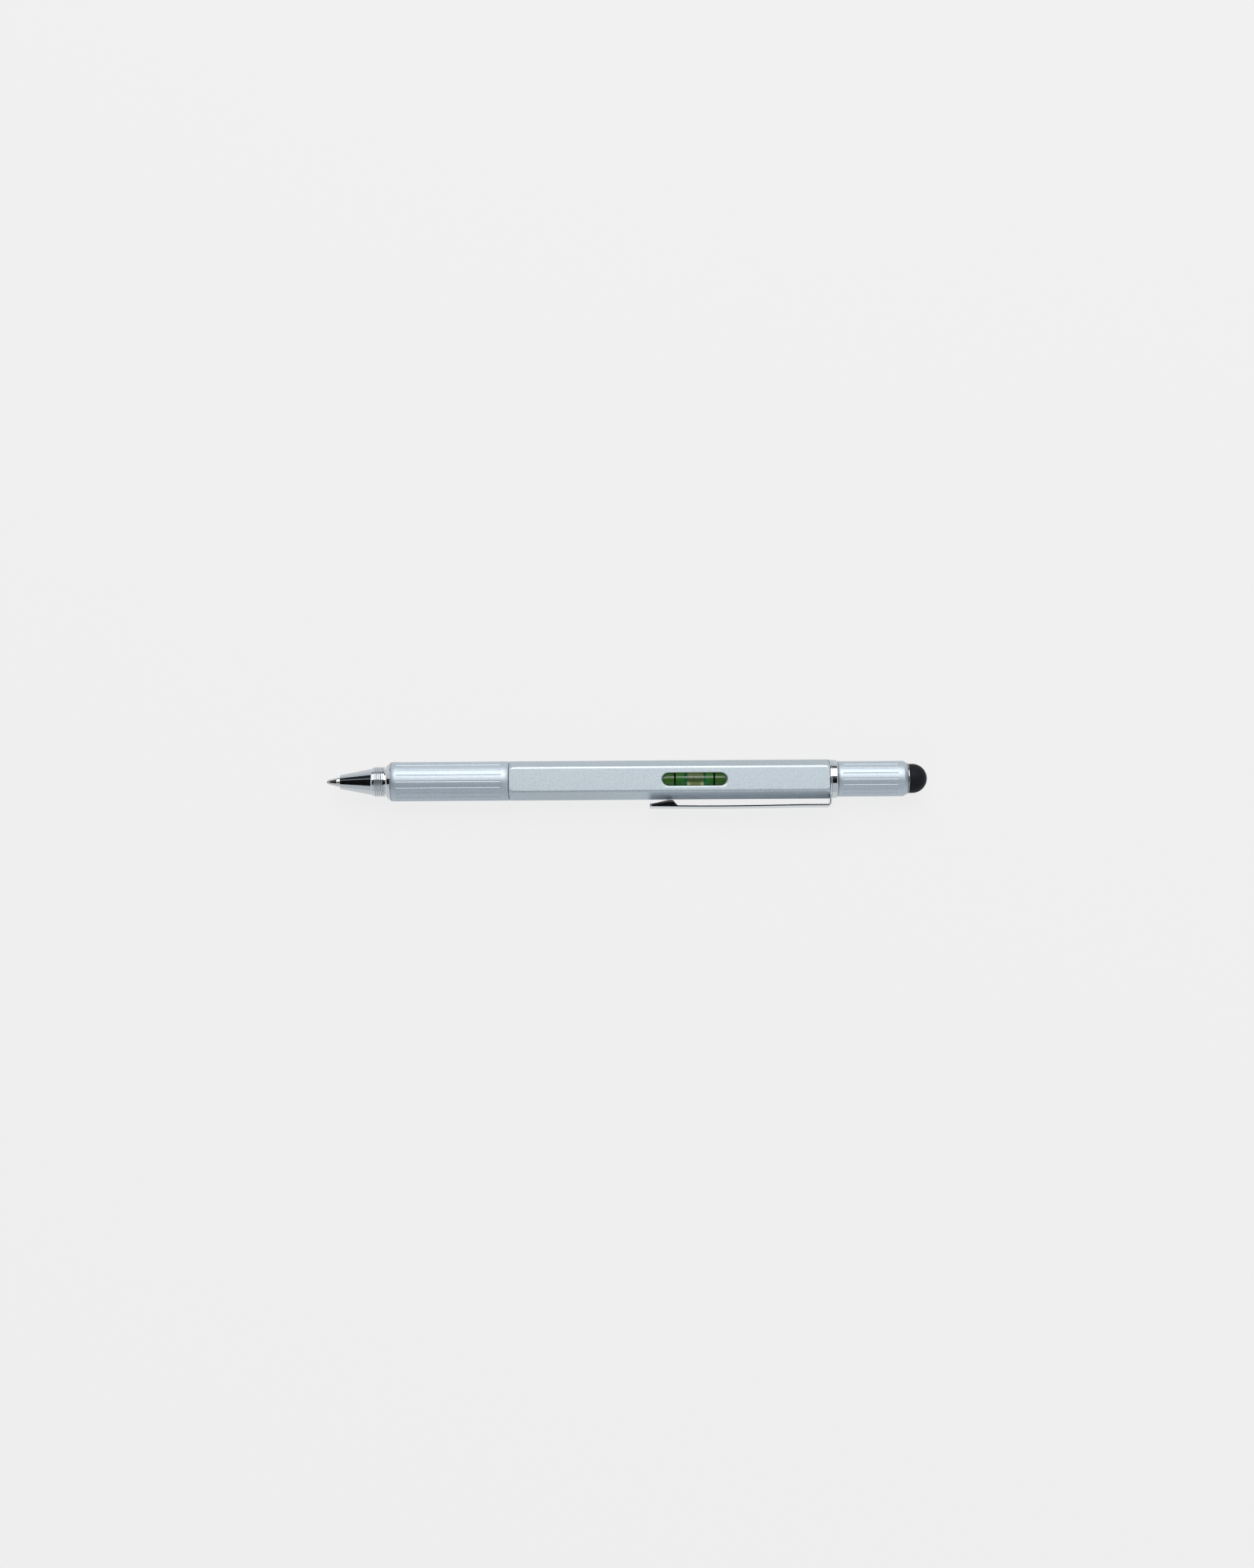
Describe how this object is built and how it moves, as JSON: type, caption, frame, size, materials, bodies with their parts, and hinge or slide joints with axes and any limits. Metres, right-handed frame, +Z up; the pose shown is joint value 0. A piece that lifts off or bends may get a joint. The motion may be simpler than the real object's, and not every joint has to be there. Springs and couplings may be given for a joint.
{
  "type": "multi tool pen",
  "caption": "Six sided metal twist pen with a bubble level in a window, a pocket clip, a screwdriver bit under its screw cap and a soft stylus tip.",
  "frame": {"origin": "centre of the bounding box's underside, with the pen lying level on its grip and clip ring", "axes": "+X along the pen from the writing tip to the stylus, +Z up through the level's window, clip towards -Y"},
  "size_m": [0.15, 0.0122, 0.0098],
  "materials": {
    "ball_steel": "polished ball and pin",
    "refill_metal": "nickel silver",
    "ink_blue": "ink, stood in for by a solid",
    "stopper_plastic": "moulded",
    "carriage_plastic": "moulded acetal",
    "nose_chrome": "polished",
    "ring_chrome": "polished",
    "grip_aluminium": "satin, silver blue",
    "core_brass": "machined",
    "drive_brass": "machined",
    "bush_brass": "machined",
    "cam_plastic": "moulded acetal",
    "barrel_aluminium": "fine satin, silver blue",
    "cradle_plastic": "moulded",
    "vial_acrylic": "clear acrylic",
    "vial_green": "green level liquid",
    "bubble_air": "air bubble",
    "vial_plug": "moulded",
    "line_black": "printed black",
    "collar_chrome": "polished",
    "clip_chrome": "polished",
    "bush_chrome": "polished",
    "magnet_black": "plain",
    "bit_steel": "machined",
    "cap_aluminium": "satin, silver blue",
    "insert_brass": "machined",
    "stylus_ring_metal": "dark polished",
    "stylus_plastic": "moulded",
    "stylus_rubber": "soft conductive rubber"
  },
  "bodies": {
    "barrel": {"barrel": "barrel_aluminium", "front_bush": "bush_brass", "cam_sleeve": "cam_plastic", "vial_cradle": "cradle_plastic", "vial_tube": "vial_acrylic", "vial_liquid": "vial_green", "vial_plug_front": "vial_plug", "vial_plug_rear": "vial_plug", "vial_line_front": "line_black", "vial_line_rear": "line_black", "clip_collar": "collar_chrome", "rear_bush": "bush_chrome", "bit_magnet": "magnet_black"},
    "grip": {"grip_sleeve": "grip_aluminium", "grip_ring": "ring_chrome", "grip_core": "core_brass", "drive_tube": "drive_brass"},
    "nose": {"nose_cone": "nose_chrome"},
    "refill": {"refill_ball": "ball_steel", "refill_tip": "refill_metal", "refill_tube": "refill_metal", "refill_ink": "ink_blue", "refill_plug": "stopper_plastic", "refill_carriage": "carriage_plastic", "carriage_pin": "ball_steel"},
    "clip": {"clip_arm": "clip_chrome"},
    "cap": {"cap_sleeve": "cap_aluminium", "cap_insert": "insert_brass", "stylus_ring": "stylus_ring_metal", "stylus_core": "stylus_plastic", "stylus_tip": "stylus_rubber"},
    "bit": {"screwdriver_bit": "bit_steel"},
    "bubble": {"vial_bubble": "bubble_air"}
  },
  "joints": [
    {"name": "grip_twist", "type": "hinge", "parent": "barrel", "child": "grip", "pos_m": [-0.02925, 0.00122, 0.0049], "axis": [1, 0, 0], "range_deg": [0, 180]},
    {"name": "refill_slide", "type": "slide", "parent": "grip", "child": "refill", "axis": [1, 0, 0], "range_m": [0, 0.005]},
    {"name": "nose_pull", "type": "slide", "parent": "grip", "child": "nose", "axis": [-1, 0, 0], "range_m": [0, 0.025]},
    {"name": "clip_flex", "type": "hinge", "parent": "barrel", "child": "clip", "pos_m": [0.05078, -0.00367, 0.0049], "axis": [0, 0, 1], "range_deg": [0, 4], "stiffness_Nm_per_rad": 1},
    {"name": "cap_pull", "type": "slide", "parent": "barrel", "child": "cap", "axis": [1, 0, 0], "range_m": [0, 0.04]},
    {"name": "bit_pull", "type": "slide", "parent": "barrel", "child": "bit", "axis": [1, 0, 0], "range_m": [0, 0.018]},
    {"name": "bubble_slide", "type": "slide", "parent": "barrel", "child": "bubble", "axis": [1, 0, 0], "range_m": [-0.006, 0.006]}
  ],
  "couplings": [
    {"joint": "grip_twist", "follows": "refill_slide", "rad_per_m": 628.32},
    {"joint": "bit_pull", "follows": "cap_pull", "ratio": 0.45}
  ]
}
